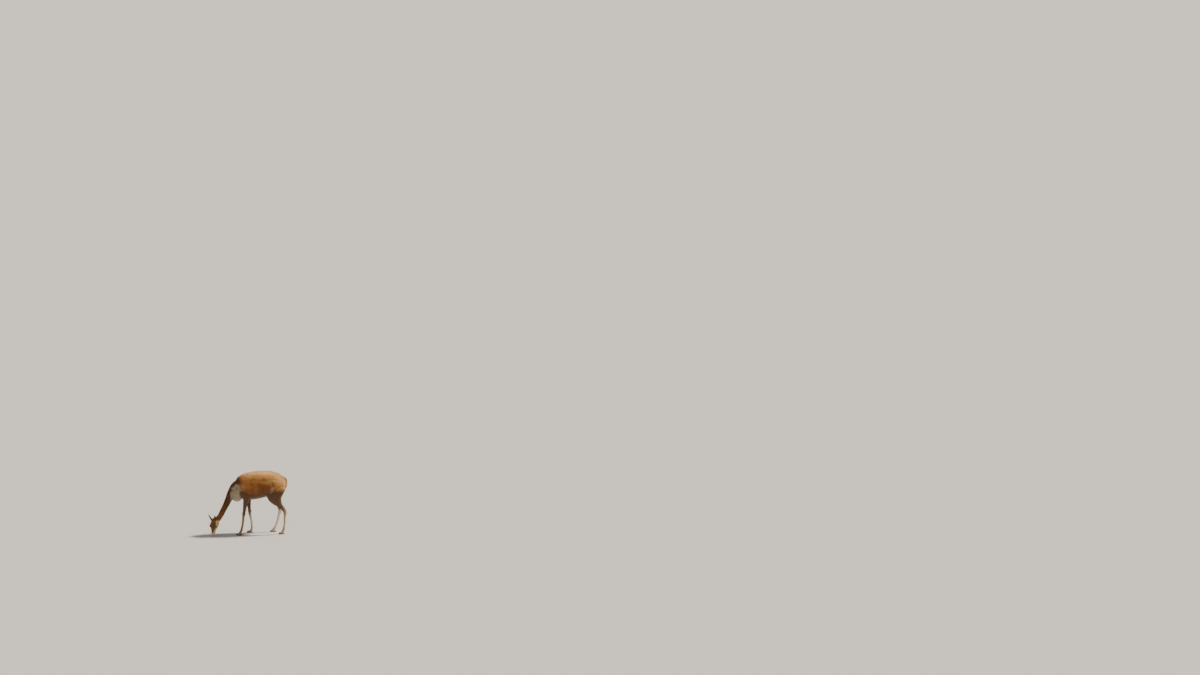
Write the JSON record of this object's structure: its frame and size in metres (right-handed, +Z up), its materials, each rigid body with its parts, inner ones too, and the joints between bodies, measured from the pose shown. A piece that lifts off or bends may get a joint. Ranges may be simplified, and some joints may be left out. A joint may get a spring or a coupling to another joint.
{
  "type": "vicuna figure",
  "caption": "Life-size grazing vicuna with its muzzle at the ground, a clumped fleece, a hanging chest bib and long slim legs, as a free-standing still figure.",
  "frame": {"origin": "on the floor, at the centre of the animal's box seen from above", "axes": "+Z up, nose towards -X, rump towards +X, the animal's left side towards -Y"},
  "size_m": [1.0536, 0.354, 0.8354],
  "materials": {
    "fleece": "matt, tawny orange fleece",
    "neck_wool": "matt, short brown wool",
    "bib_hair": "matt, long pale hair",
    "face_hair": "matt, short face hair",
    "leg_hair": "matt, short leg hair",
    "eye": "gloss, dark brown",
    "nail": "satin, dark horn"
  },
  "bodies": {
    "root": {"chest_bib": "bib_hair", "ear_left": "face_hair", "ear_right": "face_hair", "eye_left": "eye", "eye_right": "eye", "forefoot_left": "leg_hair", "forefoot_right": "leg_hair", "foreleg_left_cannon": "leg_hair", "foreleg_left_upper": "leg_hair", "foreleg_right_cannon": "leg_hair", "foreleg_right_upper": "leg_hair", "head": "face_hair", "hindfoot_left": "leg_hair", "hindfoot_right": "leg_hair", "hindleg_left_cannon": "leg_hair", "hindleg_left_upper": "leg_hair", "hindleg_right_cannon": "leg_hair", "hindleg_right_upper": "leg_hair", "nail_fore_left_inner": "nail", "nail_fore_left_outer": "nail", "nail_fore_right_inner": "nail", "nail_fore_right_outer": "nail", "nail_hind_left_inner": "nail", "nail_hind_left_outer": "nail", "nail_hind_right_inner": "nail", "nail_hind_right_outer": "nail", "neck_lower": "neck_wool", "neck_upper": "neck_wool", "tail": "fleece", "torso": "fleece"}
  },
  "joints": []
}
